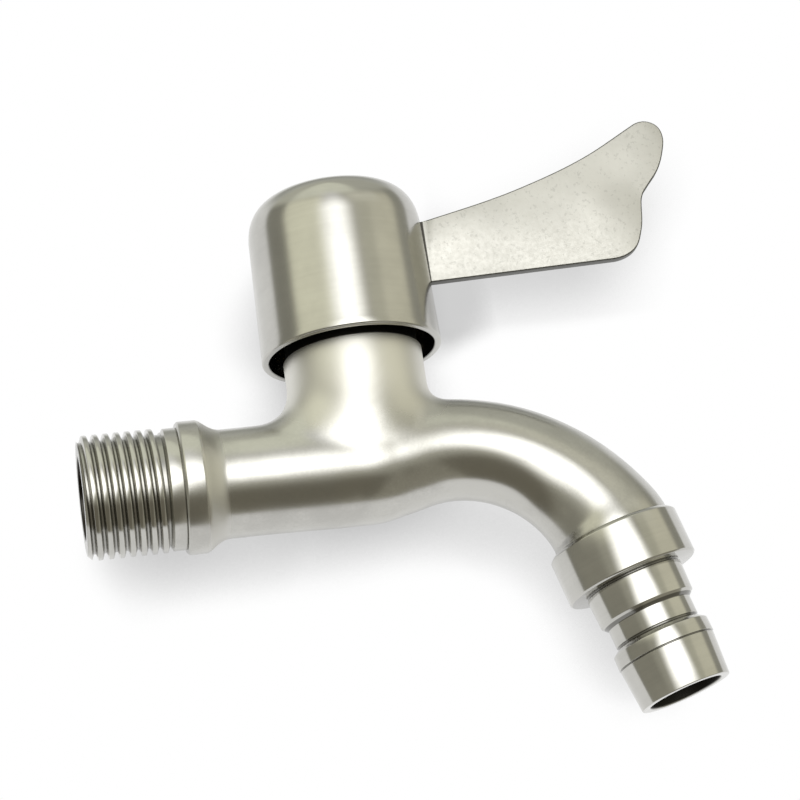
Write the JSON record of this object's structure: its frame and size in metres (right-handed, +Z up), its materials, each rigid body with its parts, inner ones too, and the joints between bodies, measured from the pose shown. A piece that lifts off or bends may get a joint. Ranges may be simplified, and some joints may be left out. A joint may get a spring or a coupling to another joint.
{
  "type": "wall bib tap",
  "caption": "Wall bib tap in brushed stainless steel with a domed handle cap, a flat wing lever, an arched spout and a stepped hose nozzle.",
  "frame": {"origin": "centre of the inlet's open end", "axes": "+X along the inlet, from the wall towards the spout; +Z up along the valve's axis; +Y completes the right-handed set"},
  "size_m": [0.1093, 0.031, 0.1053],
  "materials": {
    "brushed_steel": "brushed",
    "turned_steel": "turned and polished",
    "brass": "machined",
    "ceramic": "lapped",
    "rubber": "matt",
    "plastic": "matt",
    "screw_steel": "blackened"
  },
  "bodies": {
    "fixed": {"tap_body": "brushed_steel", "hose_nozzle": "turned_steel", "nozzle_washer": "rubber", "cartridge_housing": "brass", "housing_gasket": "rubber", "seat_seal": "rubber", "seal_ring": "plastic", "fixed_disc": "ceramic"},
    "handle": {"handle_cap": "brushed_steel", "lever_blade": "brushed_steel", "handle_insert": "brass", "grub_screw": "screw_steel", "spindle": "brass", "spindle_o_ring_lower": "rubber", "spindle_o_ring_upper": "rubber", "slip_washer": "plastic", "spindle_circlip": "screw_steel", "moving_disc": "ceramic"}
  },
  "joints": [
    {"name": "handle_turn", "type": "hinge", "parent": "fixed", "child": "handle", "pos_m": [0.0485, 0, 0.0246], "axis": [0, 0, 1], "range_deg": [0, 90]}
  ]
}
